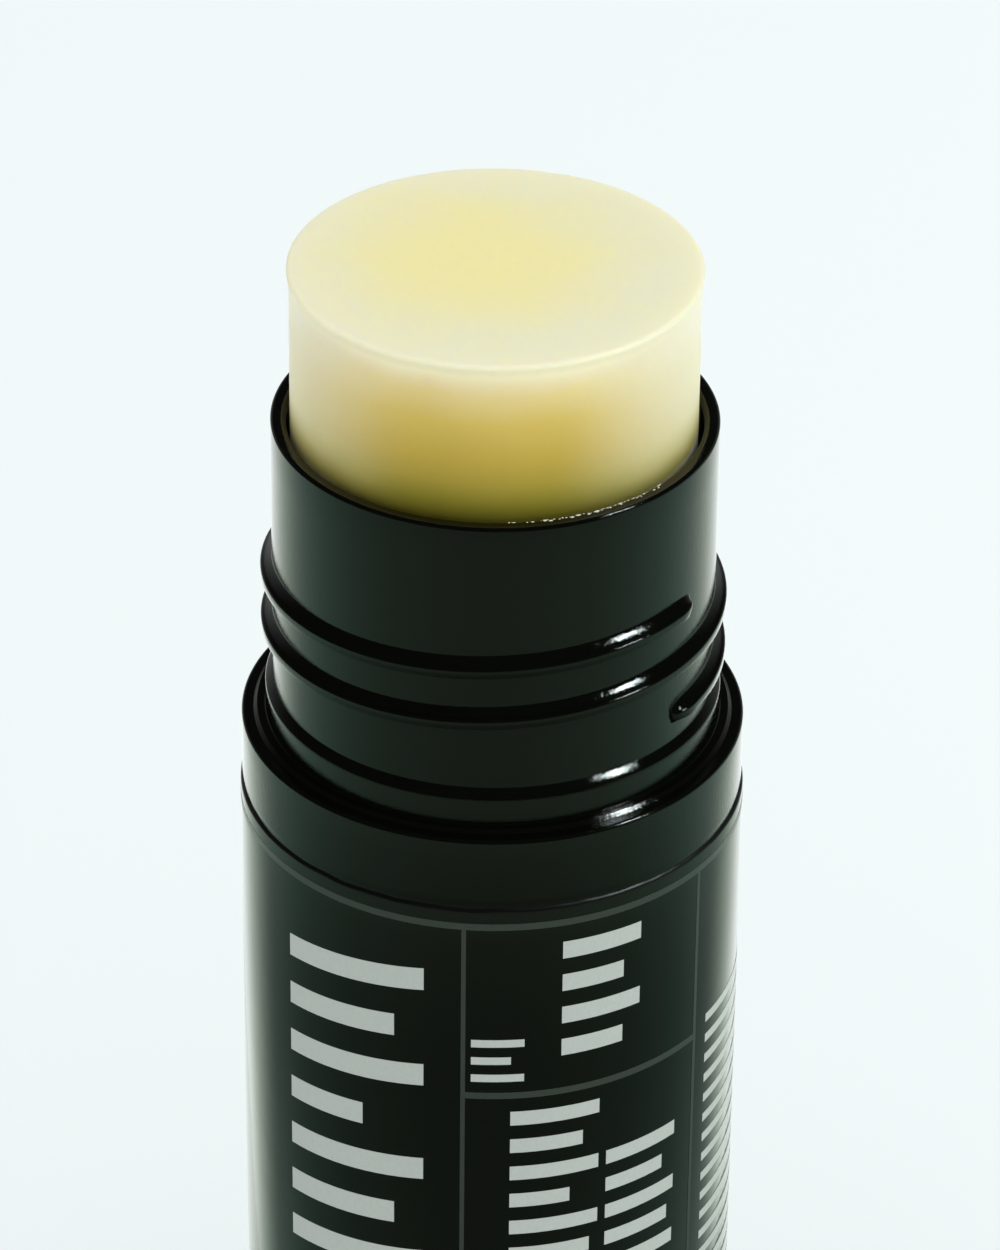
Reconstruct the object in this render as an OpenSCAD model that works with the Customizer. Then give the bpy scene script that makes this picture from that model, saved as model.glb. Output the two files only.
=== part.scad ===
// Twist-up lip balm stick: a cylinder of balm in a double-walled black tube, standing without
// its screw cap and with the balm wound up above the rim.
// The z axis runs up the middle of the stick, z = 0 is the face that it stands on, and -y is
// the front. Turning the knob anticlockwise, as seen from above, winds the balm up.

/* [Tube] */
// Height of the neck's rim above the base
rim_height = 78; // [72:0.5:95]
// Inner diameter of the barrel, in which the balm slides
bore_diameter = 20.4; // [19:0.1:23]
// Wall of the barrel and its neck
barrel_wall = 0.8; // [0.7:0.05:1.2]
// Radius of the two edges of the rim
rim_round = 0.2; // [0.1:0.05:0.3]
// Wall of the outer sleeve
sleeve_wall = 1.55; // [1.1:0.05:2]
// Radius of the sleeve's top edge, its shoulder
shoulder_round = 0.2; // [0.05:0.05:0.25]
// Gap all round between the sleeve and the barrel
sleeve_fit = 0.05; // [0.02:0.01:0.1]

/* [Collar under the neck] */
// Distance from the rim down to where the collar starts
collar_drop = 14.66; // [14.3:0.02:18]
// How far the collar stands out from the neck
collar_reach = 0.4; // [0.3:0.05:0.6]
// Height of the slope on top of the collar
collar_slope = 0.61; // [0.3:0.01:0.8]
// Height of the collar's upright wall
collar_wall = 1.27; // [0.5:0.01:1.5]
// How far the stop ring at the collar's foot stands out from the neck
stop_reach = 1; // [0.7:0.05:1.05]
// Height of the stop ring, against which the sleeve is pushed up
stop_height = 0.2; // [0.1:0.05:0.4]

/* [Neck thread] */
// Rise of the thread in one turn
thread_pitch = 2.9; // [2.5:0.05:3]
// Length of the thread, in turns
thread_turns = 2.02; // [1.5:0.01:2.1]
// How far the thread stands out from the neck
thread_reach = 0.58; // [0.4:0.01:0.8]
// Height of the thread's flat crest
thread_land = 0.4; // [0.2:0.02:0.6]
// Height of the thread's upper flank, which slopes
thread_flank = 0.57; // [0.4:0.01:0.7]
// Height of the thread's steeper flank underneath, on which the cap pulls
thread_underside = 0.36; // [0.3:0.01:0.7]
// Distance from the rim down to the middle of the thread's top end
thread_drop = 7.38; // [6.5:0.02:7.5]
// Direction from the axis in which the thread's top end lies
thread_end_angle = -30; // [-180:1:180]

/* [Label] */
// Distance from the rim down to the label's top edge
label_drop = 20.64; // [18.5:0.02:24]
// Height of the label
label_height = 45; // [30:0.5:47]
// Thickness of the label
label_thickness = 0.08; // [0.05:0.01:0.15]
// Thickness of the glue under the label
glue_thickness = 0.02; // [0.01:0.005:0.03]

/* [Knob] */
// Height of the knob
knob_height = 9; // [7.5:0.1:10]
// Gap between the knob and the sleeve above it
knob_gap = 0.3; // [0.2:0.05:0.6]
// Gap all round between the knob and the barrel inside it
knob_fit = 0.15; // [0.1:0.01:0.2]
// Thickness of the knob's floor
knob_floor = 1.5; // [1:0.1:2]
// Depth of the hollow under the knob
foot_recess = 0.6; // [0.3:0.1:1]
// Width of the ring that the knob stands on
foot_width = 2.4; // [1.5:0.1:4]
// Bevel at the knob's top and bottom edges
knob_bevel = 0.5; // [0.2:0.05:0.7]
// Number of grip grooves round the knob
grip_count = 36; // [24:1:40]
// Depth of each grip groove
grip_depth = 0.3; // [0.15:0.05:0.35]
// Width of each grip groove
grip_width = 0.9; // [0.6:0.05:1.1]

/* [Snap ring that holds the knob] */
// Distance from the knob's floor up to the end of the barrel
barrel_end_gap = 0.5; // [0.3:0.1:1]
// Distance from the end of the barrel up to the middle of its snap ring
snap_lift = 2; // [1.5:0.1:2.5]
// How far the snap ring stands out from the barrel
snap_reach = 0.3; // [0.2:0.05:0.35]
// Height of the snap ring where it meets the barrel
snap_height = 0.9; // [0.7:0.05:1.2]
// Gap round the snap ring in the groove of the knob
snap_fit = 0.1; // [0.05:0.01:0.15]

/* [Lead screw] */
// Rise of the balm in one turn of the knob
screw_lead = 5; // [4:0.1:6]
// Diameter of the screw's core
screw_core_diameter = 5.2; // [4.5:0.1:6]
// How far the screw's thread stands out from its core
screw_reach = 1; // [0.8:0.05:1.2]
// Height of the flat crest of the screw's thread
screw_land = 0.8; // [0.6:0.05:1]
// Height of each sloping flank of the screw's thread
screw_flank = 0.6; // [0.4:0.05:0.7]
// Diameter of the flange at the foot of the screw
flange_diameter = 10; // [9:0.1:12]
// Thickness of the flange
flange_thickness = 1; // [0.8:0.1:1.5]
// Length of the hexagonal tail that sits in the knob
tail_length = 2.9; // [2:0.1:4]
// Width of the tail across its flats
tail_width = 5; // [4:0.1:6]
// Gap round the tail in its socket
tail_fit = 0.02; // [0.01:0.01:0.05]
// Gap all round between the screw and the nut in the carrier
nut_fit = 0.15; // [0.1:0.01:0.2]

/* [Carrier] */
// Length of the nut on the screw
nut_length = 9; // [8:0.1:12]
// Wall of the nut
nut_wall = 1.45; // [1:0.05:2]
// Depth of the cup that holds the balm
cup_depth = 6; // [4:0.1:8]
// Wall of the cup
cup_wall = 0.7; // [0.6:0.05:1]
// Gap all round between the cup and the barrel
cup_fit = 0.15; // [0.1:0.01:0.2]
// Thickness of the cup's floor
cup_floor = 1.2; // [0.8:0.1:2]
// Depth of the skirt below the cup's floor
skirt_depth = 3; // [2:0.1:5]
// Gap between the nut's foot and the screw's flange when the balm is wound right down
stop_gap = 0.3; // [0.2:0.05:0.6]

/* [Guide ribs] */
// Width of each of the two ribs inside the barrel
rib_width = 1.2; // [0.8:0.1:2]
// How far the ribs stand in from the barrel's wall
rib_reach = 0.5; // [0.3:0.05:0.6]
// Distance from the rim down to the top of the ribs
rib_drop = 10; // [9.8:0.1:11]
// Gap round a rib in its slots in the carrier and the balm
slot_fit = 0.2; // [0.1:0.05:0.25]

/* [Balm] */
// Height of the balm above the rim as it stands
balm_raised = 8.25; // [4:0.05:12]
// Depth of the balm's top below the rim when it is wound right down
balm_sunk = 1.05; // [0.5:0.05:2]
// Depth of the cup's edge below the rim when the balm is wound right up
cup_sunk = 2; // [1:0.1:4]
// Gap all round between the balm and the barrel
balm_fit = 0.1; // [0.05:0.01:0.15]
// Radius of the balm's top edge
balm_round = 0.35; // [0.2:0.05:0.8]
// Gap between the balm and the inside of its cup
cast_gap = 0.03; // [0.01:0.01:0.05]
// Gap between the tip of the screw and the top of the balm's hole, wound right down
tip_gap = 0.3; // [0.2:0.05:0.6]

/* [Hidden] */
$fn = 96;

// Radii, from the bore outwards
bore_r = bore_diameter / 2;
neck_r = bore_r + barrel_wall;
collar_r = neck_r + collar_reach;
stop_r = neck_r + stop_reach;
sleeve_bore_r = neck_r + sleeve_fit;
sleeve_r = sleeve_bore_r + sleeve_wall;
label_bore_r = sleeve_r + glue_thickness;
label_r = label_bore_r + label_thickness;
knob_bore_r = neck_r + knob_fit;
knob_r = sleeve_r;
snap_r = neck_r + snap_reach;
groove_r = snap_r + snap_fit;
balm_r = bore_r - balm_fit;
cup_r = bore_r - cup_fit;
cup_bore_r = cup_r - cup_wall;
slot_r = bore_r - rib_reach - slot_fit;
screw_core_r = screw_core_diameter / 2;
screw_crest_r = screw_core_r + screw_reach;
nut_bore_r = screw_crest_r + nut_fit;
nut_crest_r = screw_core_r + nut_fit;
nut_r = nut_bore_r + nut_wall;
flange_r = flange_diameter / 2;

// Heights, from the base upwards
floor_top = foot_recess + knob_floor;
socket_top = floor_top + tail_length;
flange_top = socket_top + flange_thickness;
barrel_end = floor_top + barrel_end_gap;
snap_middle = barrel_end + snap_lift;
snap_land = snap_height - 2 * snap_reach;
sleeve_foot = knob_height + knob_gap;
collar_top = rim_height - collar_drop;
collar_edge = collar_top - collar_slope;
collar_foot = collar_edge - collar_wall;
sleeve_top = collar_foot - stop_height;
label_top = rim_height - label_drop;
rib_top = rim_height - rib_drop;

// Travel of the balm from where it stands, and the places that follow from it
travel_down = balm_raised + balm_sunk;
balm_top = rim_height + balm_raised;
nut_foot = flange_top + stop_gap + travel_down;
balm_foot = nut_foot + nut_length;
cup_top = balm_foot + cup_depth;
travel_up = rim_height - cup_sunk - cup_top;
screw_top = balm_foot + travel_up;
balm_hole_top = screw_top + travel_down + tip_gap;
balm_slot_top = rib_top + travel_down + slot_fit;

// Threads: how deep a ridge is rooted in its wall, its steps, and the length of its blunt ends
ridge_root = 0.3;
neck_thread_step = 9;
screw_thread_step = 18;
blunt_angle = 6;
arc_steps = 6;

// Height from a ridge's middle to its edge, at a radius that is inset from its crest
function half_ridge(land, flank, reach, inset) = land / 2 + flank * inset / reach;

screw_root_half = half_ridge(screw_land, screw_flank, screw_reach, screw_reach);
screw_thread_foot = flange_top + screw_root_half + nut_fit;
screw_thread_top = screw_top - screw_root_half;
screw_thread_turns = (screw_thread_top - screw_thread_foot) / screw_lead;

// The nut's ridge fills the space between two turns of the screw, less the gap at each flank
nut_reach = nut_bore_r - nut_crest_r;
nut_land = screw_lead - 2 * nut_fit
    - 2 * half_ridge(screw_land, screw_flank, screw_reach, screw_crest_r - nut_crest_r);
nut_flank = screw_flank * nut_reach / screw_reach;
nut_root_half = half_ridge(nut_land, nut_flank, nut_reach, nut_reach);
nut_thread_foot = nut_foot + nut_root_half;
nut_thread_turns = (nut_length - 2 * nut_root_half) / screw_lead;
nut_thread_angle = 360 * ((screw_thread_foot - nut_thread_foot) / screw_lead + 0.5);

// Points on an arc, from one angle to another
function arc(x, y, r, from, to) =
    [for (i = [0 : arc_steps])
        let (a = from + (to - from) * i / arc_steps) [x + r * cos(a), y + r * sin(a)]];

// Places along a ridge, as [angle, share of its full reach]: both ends are blunt noses
function ridge_places(sweep, step) =
    let (n = ceil((sweep - 2 * blunt_angle) / step))
    concat(
        [[0, 0.3], [0.4 * blunt_angle, 0.8]],
        [for (i = [0 : n]) [blunt_angle + (sweep - 2 * blunt_angle) * i / n, 1]],
        [[sweep - 0.4 * blunt_angle, 0.8], [sweep, 0.3]]);

// A ridge wound upwards from z = 0 on a wall of radius wall_r. A negative reach points inwards,
// and a hand of -1 winds it to the left. Its flanks are as high as upper and lower say.
module helical_ridge(wall_r, reach, land, upper, lower, lead, turns, hand, step) {
    outward = sign(reach);
    root_r = wall_r - outward * ridge_root;
    root_share = 1 + ridge_root / abs(reach);
    root_top = land / 2 + upper * root_share;
    root_foot = -land / 2 - lower * root_share;
    places = ridge_places(360 * turns, step);
    points = [for (p = places)
        let (a = hand * p[0], z = lead * p[0] / 360, crest_r = wall_r + reach * p[1])
        for (q = [[root_r, root_foot], [crest_r, -land / 2], [crest_r, land / 2], [root_r, root_top]])
            [q[0] * cos(a), q[0] * sin(a), z + q[1]]];
    last = 4 * (len(places) - 1);
    sides = [for (i = [0 : 4 : last - 4], j = [0 : 3])
        let (a = i + j, b = i + (j + 1) % 4)
        for (t = [[a, b, b + 4], [a, b + 4, a + 4]]) t];
    ends = [[0, 2, 1], [0, 3, 2], [last, last + 1, last + 2], [last, last + 2, last + 3]];
    faces = concat(sides, ends);
    polyhedron(points, hand * outward > 0 ? faces : [for (f = faces) [f[2], f[1], f[0]]]);
}

// One rib or slot on each side of the z axis, at the same distance out and width
module both_sides(inner_r, outer_r, width, foot, top) {
    for (side = [0, 180])
        rotate([0, 0, side])
            translate([inner_r, -width / 2, foot])
                cube([outer_r - inner_r, width, top - foot]);
}

module inner_barrel() {
    color("#1b1e19") union() {
        rotate_extrude()
            polygon(concat(
                [[bore_r, barrel_end], [neck_r, barrel_end],
                 [neck_r, snap_middle - snap_height / 2], [snap_r, snap_middle - snap_land / 2],
                 [snap_r, snap_middle + snap_land / 2], [neck_r, snap_middle + snap_height / 2],
                 [neck_r, sleeve_top], [stop_r, sleeve_top], [stop_r, collar_foot],
                 [collar_r, collar_foot], [collar_r, collar_edge], [neck_r, collar_top]],
                arc(neck_r - rim_round, rim_height - rim_round, rim_round, 0, 90),
                arc(bore_r + rim_round, rim_height - rim_round, rim_round, 90, 180)));
        translate([0, 0, rim_height - thread_drop - thread_pitch * thread_turns])
            rotate([0, 0, thread_end_angle - 360 * thread_turns])
                helical_ridge(neck_r, thread_reach, thread_land, thread_flank, thread_underside,
                    thread_pitch, thread_turns, 1, neck_thread_step);
        both_sides(bore_r - rib_reach, bore_r + barrel_wall / 2, rib_width, barrel_end, rib_top);
    }
}

module outer_sleeve() {
    color("#1b1e19") rotate_extrude()
        polygon(concat(
            [[sleeve_bore_r, sleeve_foot], [sleeve_r, sleeve_foot]],
            arc(sleeve_r - shoulder_round, sleeve_top - shoulder_round, shoulder_round, 0, 90),
            [[sleeve_bore_r, sleeve_top]]));
}

module label() {
    color("#141710") translate([0, 0, label_top - label_height])
        difference() {
            cylinder(r = label_r, h = label_height);
            translate([0, 0, -1]) cylinder(r = label_bore_r, h = label_height + 2);
        }
}

module twist_knob() {
    groove_half = snap_height / 2 + snap_fit;
    color("#1b1e19") difference() {
        rotate_extrude()
            polygon([[0, foot_recess], [knob_r - knob_bevel - foot_width, foot_recess],
                [knob_r - knob_bevel - foot_width, 0], [knob_r - knob_bevel, 0],
                [knob_r, knob_bevel], [knob_r, knob_height - knob_bevel / 2],
                [knob_r - knob_bevel / 2, knob_height], [knob_bore_r, knob_height],
                [knob_bore_r, snap_middle + groove_half], [groove_r, snap_middle + groove_half],
                [groove_r, snap_middle - groove_half], [knob_bore_r, snap_middle - groove_half],
                [knob_bore_r, floor_top], [flange_r, floor_top],
                [flange_r, socket_top], [0, socket_top]]);
        translate([0, 0, floor_top])
            cylinder(d = (tail_width + 2 * tail_fit) / cos(30), h = tail_length + 1, $fn = 6);
        for (i = [0 : grip_count - 1])
            rotate([0, 0, (i + 0.5) * 360 / grip_count])
                translate([knob_r - grip_depth, 0, -1])
                    grip_groove(knob_height + 2);
    }
}

// A shallow scoop of the grip's width and depth, cut on from its deepest line
module grip_groove(height) {
    scoop_r = (pow(grip_width / 2, 2) + pow(grip_depth, 2)) / (2 * grip_depth);
    translate([scoop_r, 0, 0]) cylinder(r = scoop_r, h = height);
}

module lead_screw() {
    color("#e8e6df") union() {
        translate([0, 0, floor_top]) cylinder(d = tail_width / cos(30), h = tail_length, $fn = 6);
        translate([0, 0, socket_top]) cylinder(r = flange_r, h = flange_thickness);
        translate([0, 0, socket_top]) cylinder(r = screw_core_r, h = screw_top - socket_top);
        translate([0, 0, screw_thread_foot])
            helical_ridge(screw_core_r, screw_reach, screw_land, screw_flank, screw_flank,
                screw_lead, screw_thread_turns, -1, screw_thread_step);
    }
}

module balm_carrier() {
    color("#e8e6df") difference() {
        union() {
            rotate_extrude()
                polygon([[nut_bore_r, nut_foot], [nut_r, nut_foot],
                    [nut_r, balm_foot - cup_floor], [cup_bore_r, balm_foot - cup_floor],
                    [cup_bore_r, balm_foot - cup_floor - skirt_depth],
                    [cup_r, balm_foot - cup_floor - skirt_depth],
                    [cup_r, cup_top], [cup_bore_r, cup_top],
                    [cup_bore_r, balm_foot], [nut_bore_r, balm_foot]]);
            translate([0, 0, nut_thread_foot])
                rotate([0, 0, nut_thread_angle])
                    helical_ridge(nut_bore_r, -nut_reach, nut_land, nut_flank, nut_flank,
                        screw_lead, nut_thread_turns, -1, screw_thread_step);
        }
        both_sides(slot_r, bore_r, rib_width + 2 * slot_fit, nut_foot, cup_top + 1);
    }
}

module balm() {
    foot_r = cup_bore_r - cast_gap;
    color("#ecdfb0") difference() {
        rotate_extrude()
            polygon(concat(
                [[0, balm_foot], [foot_r, balm_foot], [foot_r, cup_top], [balm_r, cup_top]],
                arc(balm_r - balm_round, balm_top - balm_round, balm_round, 0, 90),
                [[0, balm_top]]));
        translate([0, 0, balm_foot - 1])
            cylinder(r = nut_bore_r, h = balm_hole_top - balm_foot + 1);
        both_sides(slot_r, bore_r, rib_width + 2 * slot_fit, balm_foot - 1, balm_slot_top);
    }
}

inner_barrel();
outer_sleeve();
label();
twist_knob();
lead_screw();
balm_carrier();
balm();
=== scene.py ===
# %% [markdown]
# A twist-up lip balm stick, dressed for its picture.
# The measured model gives every size and every joint. This file adds what a lens sees close up:
# rounded edges, the grain of moulded plastic, a printed film label and a waxy balm. All lengths
# in the model are metres. The sizes below are written in millimetres, as a maker would say them,
# and MM turns them into metres at the last step.

# %% Load the frame
import math
import random

import bmesh
import bpy
from mathutils import Matrix, Vector, noise


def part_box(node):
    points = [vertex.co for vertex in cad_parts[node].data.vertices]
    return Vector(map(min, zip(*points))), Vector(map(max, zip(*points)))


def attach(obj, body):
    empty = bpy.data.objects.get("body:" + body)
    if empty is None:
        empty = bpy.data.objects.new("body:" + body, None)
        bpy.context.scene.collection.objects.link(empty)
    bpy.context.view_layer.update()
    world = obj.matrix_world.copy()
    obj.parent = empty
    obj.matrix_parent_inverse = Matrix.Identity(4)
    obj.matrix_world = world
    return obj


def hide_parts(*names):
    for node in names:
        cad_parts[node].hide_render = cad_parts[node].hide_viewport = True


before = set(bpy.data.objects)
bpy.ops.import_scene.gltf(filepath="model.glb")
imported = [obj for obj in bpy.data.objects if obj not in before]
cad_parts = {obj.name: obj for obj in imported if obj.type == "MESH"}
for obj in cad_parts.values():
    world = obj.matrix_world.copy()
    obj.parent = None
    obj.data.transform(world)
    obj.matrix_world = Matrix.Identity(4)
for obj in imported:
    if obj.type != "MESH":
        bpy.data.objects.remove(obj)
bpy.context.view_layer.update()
MM = 0.001


# %% [markdown]
# The camera comes first, because everything is judged through it. The photograph looks down at
# the stick by a bit under 32 degrees through a long lens, so its upright sides hardly converge.
# A camera is a position, a direction and a lens. Here it stands back from a point on the axis
# below the rim, and is rolled by a little over half a degree, as the real one seems to have been.

# %% Camera
CAMERA_TILT = math.radians(31.8)
CAMERA_ROLL = math.radians(0.6)
CAMERA_DISTANCE = 310.8  # mm from the aim point
CAMERA_LENS = 179.6  # mm, on a 36 mm sensor
AIM_BELOW_RIM = 12.17  # mm
AIM_RIGHT = 0.335  # mm

rim_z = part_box("inner_barrel")[1].z / MM
aim = Vector((AIM_RIGHT, 0, rim_z - AIM_BELOW_RIM)) * MM
back = Vector((0, -math.cos(CAMERA_TILT), math.sin(CAMERA_TILT)))
level_right = Vector((1, 0, 0))
level_up = back.cross(level_right)
right = level_right * math.cos(CAMERA_ROLL) + level_up * math.sin(CAMERA_ROLL)
up = level_up * math.cos(CAMERA_ROLL) - level_right * math.sin(CAMERA_ROLL)

camera = bpy.data.objects.new("camera", bpy.data.cameras.new("camera"))
camera.data.lens = CAMERA_LENS
camera.data.clip_start = 0.01
camera.matrix_world = Matrix.Translation(aim + back * CAMERA_DISTANCE * MM) @ Matrix(
    (right, up, back)
).transposed().to_4x4()
bpy.context.scene.collection.objects.link(camera)
bpy.context.scene.camera = camera
bpy.context.scene.view_settings.view_transform = "Standard"
tilt = round(math.degrees(CAMERA_TILT), 1)
print("camera at", [round(c, 4) for c in camera.location], "looking down", tilt, "degrees")


# %% [markdown]
# Nearly every piece of this stick was turned or moulded round one axis, so one helper makes them
# all. It takes a closed outline in radius and height, copies it round the axis and joins the
# copies with faces. Blender's Screw modifier can do the same, but a grid that is built by hand
# also lets a piece change its radius with the angle, which ribs, slots and grip grooves need.

# %% Helper for turned pieces
FINE_STEP = 2.0  # degrees between two copies of an outline


def arc(x, y, r, start, end, steps=6):
    """Points on an arc from one angle to another, in degrees."""
    angles = [math.radians(start + (end - start) * i / steps) for i in range(steps + 1)]
    return [(x + r * math.cos(a), y + r * math.sin(a)) for a in angles]


def even_angles(step=FINE_STEP, extra=()):
    """Angles right round, with some extra ones where an edge has to be sharp."""
    count = round(360 / step)
    angles = {round(360 * i / count, 4) for i in range(count)}
    return sorted(angles | {round(a % 360, 4) for a in extra})


def turned(name, outline, angles, shape=None):
    """A closed outline of (radius, height) turned round z. shape can move a point, by angle.
    Points on the axis close the piece there."""
    mesh = bmesh.new()
    rings = []
    for index, (r, z) in enumerate(outline):
        if r == 0:
            rings.append([mesh.verts.new((0, 0, z * MM))] * len(angles))
            continue
        ring = []
        for angle in angles:
            new_r, new_z = shape(r, z, angle, index) if shape else (r, z)
            a = math.radians(angle)
            ring.append(mesh.verts.new((new_r * MM * math.cos(a), new_r * MM * math.sin(a), new_z * MM)))
        rings.append(ring)
    pairs = list(zip(rings, rings[1:] + rings[:1]))
    for low, high in pairs:
        for i in range(len(angles)):
            j = (i + 1) % len(angles)
            corners = list(dict.fromkeys((low[i], low[j], high[j], high[i])))
            if len(corners) > 2:
                mesh.faces.new(corners)
    return finished(name, mesh)


def finished(name, mesh, smooth_below=35):
    """Turns a bmesh into an object with outward faces, smooth but for its sharp edges."""
    bmesh.ops.recalc_face_normals(mesh, faces=mesh.faces)
    for face in mesh.faces:
        face.smooth = True
    for edge in mesh.edges:
        edge.smooth = len(edge.link_faces) < 2 or edge.calc_face_angle(0) < math.radians(smooth_below)
    data = bpy.data.meshes.new(name)
    mesh.to_mesh(data)
    mesh.free()
    made = bpy.data.objects.new(name, data)
    bpy.context.scene.collection.objects.link(made)
    print(name, "has", len(data.polygons), "faces")
    return made


# %% [markdown]
# The inner barrel is one moulding: a thin tube whose top is the neck, with a rim, a cap thread
# and a collar. On the real part no edge is sharp, because the mould was cut with small radii, and
# those radii are what catches the light. The outline below gives each edge one. The rim is
# rounded on both sides, so that it mirrors the dark above it and only a little of the balm.

# %% Sizes of the tube
balm_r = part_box("balm")[1].x / MM
balm_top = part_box("balm")[1].z / MM
sleeve_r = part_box("outer_sleeve")[1].x / MM
sleeve_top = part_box("outer_sleeve")[1].z / MM
sleeve_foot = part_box("outer_sleeve")[0].z / MM
barrel_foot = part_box("inner_barrel")[0].z / MM
knob_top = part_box("twist_knob")[1].z / MM
label_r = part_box("label")[1].x / MM
label_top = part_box("label")[1].z / MM
label_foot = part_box("label")[0].z / MM

BORE_R = balm_r + 0.1
NECK_R = BORE_R + 0.8
COLLAR_REACH = 0.4
COLLAR_R = NECK_R + COLLAR_REACH
COLLAR_SLOPE = 0.61
COLLAR_WALL = 1.27
STOP_R = NECK_R + 1.0  # the low ring at the collar's foot
STOP_HEIGHT = 0.2
STOP_BEVEL = 0.18

# Each pair is a lean in degrees, 0 for an upright wall and 90 for a level ledge, and a share.
COLLAR_WALK = [(48, 1), (46, 2.5), (44, 2), (38, 0.8), (22, 0.8), (5, 2.3)]
RIM_ROUND = 0.36  # radius of its inner edge
RIM_EDGE = 0.2  # radius of its outer edge
SNAP_MIDDLE = barrel_foot + 2
SNAP_REACH = 0.3
RIB_WIDTH = 1.2
RIB_REACH = 0.5
RIB_TOP = rim_z - 10
BARREL_STEP = 0.5  # degrees, finer than elsewhere because the neck shows most
print("neck radius", round(NECK_R, 3), "mm, rim at", round(rim_z, 3), "mm")


# %% The barrel's wall, rim, collar and ribs
def walk(pairs, reach, height):
    """Points down and outwards along a slope, stretched to the reach and the height given."""
    r = z = 0
    points = [(0, 0)]
    for lean, share in pairs:
        r += share * math.sin(math.radians(lean))
        z -= share * math.cos(math.radians(lean))
        points.append((r, z))
    return [(x * reach / r, -y * height / z) for x, y in points]


def in_rib(angle, width, radius):
    """Is this angle within a rib or slot of that width, at 0 or 180 degrees?"""
    half = math.degrees(math.asin(width / 2 / radius))
    return min(angle % 180, 180 - angle % 180) <= half + 1e-3


def rib_angles(width, radius):
    """The angles at both edges of the two ribs, doubled so that the rib's sides stand up."""
    half = math.degrees(math.asin(width / 2 / radius))
    return [side + turn * (half + gap) for side in (0, 180) for turn in (-1, 1) for gap in (0, 0.1)]


stop_top = sleeve_top + STOP_HEIGHT
collar_edge = stop_top + COLLAR_WALL
collar_top = collar_edge + COLLAR_SLOPE
collar_slope = walk(COLLAR_WALK, COLLAR_REACH, COLLAR_SLOPE)
barrel_outline = (
    [(BORE_R, barrel_foot), (NECK_R, barrel_foot)]
    + [(NECK_R, SNAP_MIDDLE - 0.45), (NECK_R + SNAP_REACH, SNAP_MIDDLE - 0.15)]
    + [(NECK_R + SNAP_REACH, SNAP_MIDDLE + 0.15), (NECK_R, SNAP_MIDDLE + 0.45)]
    + [(NECK_R, sleeve_top - 2), (NECK_R, sleeve_top), (STOP_R, sleeve_top)]
    + [(STOP_R, stop_top - STOP_BEVEL), (STOP_R - STOP_BEVEL, stop_top)]
    + arc(COLLAR_R + 0.06, stop_top + 0.06, 0.06, 270, 180, 3)
    + [(NECK_R + x, collar_top + z) for x, z in reversed(collar_slope)]
    + [(NECK_R, collar_top + 0.04), (NECK_R, collar_top + 2), (NECK_R, rim_z - 2)]
    + arc(NECK_R - RIM_EDGE, rim_z - RIM_EDGE, RIM_EDGE, 0, 90, 8)
    + arc(BORE_R + RIM_ROUND, rim_z - RIM_ROUND, RIM_ROUND, 90, 180, 8)
    + [(BORE_R, RIB_TOP + 0.02), (BORE_R, RIB_TOP), (BORE_R, RIB_TOP - 0.02)]
)
last_rib_row = len(barrel_outline) - 1


def barrel_shape(r, z, angle, index):
    """The two ribs inside the bore."""
    if index in (0, last_rib_row) and in_rib(angle, RIB_WIDTH, BORE_R):
        return r - RIB_REACH, z
    return r, z


barrel = turned(
    "neck_and_barrel",
    barrel_outline,
    even_angles(BARREL_STEP, rib_angles(RIB_WIDTH, BORE_R)),
    barrel_shape,
)


# %% [markdown]
# The cap thread is a ridge wound round the neck, a little over two turns. Its outline is drawn as
# a walk: each step says how far the surface leans back and how far to go. The walk starts at the
# neck's wall above the ridge, curves out along a hollow root, over a ledge and round the crest,
# and comes back underneath. A screw thread could also come from the Screw modifier, but a walk
# gives the hollow root and the tight crest that make the double glint of the real one.

# %% Cap thread
THREAD_PITCH = 2.9
THREAD_TURNS = 2.02
THREAD_REACH = 0.58
THREAD_LAND = 0.4
THREAD_FLANK = 0.57
THREAD_UNDERSIDE = 0.36
THREAD_DROP = 7.38
THREAD_END = -30.0  # degrees
THREAD_ROOT = 0.3  # how deep the ridge is set into the wall
THREAD_BLUNT = 7.0  # degrees over which each end falls away

FLANK_WALK = [(18, 0.6), (36, 1), (43, 3), (46, 4), (49, 3), (56, 1)]
CREST_WALK = [(63, 1.5), (66, 1.2), (58, 0.9), (45, 0.9), (30, 0.9), (12, 0.9)]


def thread_section(share):
    """The ridge's outline at one place, as (distance out from the neck, height from its middle)."""
    crest = THREAD_LAND / 2
    top = crest + THREAD_FLANK
    foot = -crest - THREAD_UNDERSIDE
    slope = [(x, top + z) for x, z in walk(FLANK_WALK + CREST_WALK, THREAD_REACH, THREAD_FLANK)]
    under = [(THREAD_REACH, 0.05 - crest), (THREAD_REACH - 0.03, -crest), (0, foot)]
    outline = [(-THREAD_ROOT, top + 0.03)] + slope + under + [(-THREAD_ROOT, foot - 0.03)]
    return [(x * share if x > 0 else x, z * (0.6 + 0.4 * share)) for x, z in outline]


def thread_share(along, sweep):
    """How much of its full reach the ridge has, this many degrees along: both ends are blunt."""
    end = min(along, sweep - along) / THREAD_BLUNT
    return 0.05 + 0.95 * math.sqrt(1 - (1 - min(end, 1)) ** 2)


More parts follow.
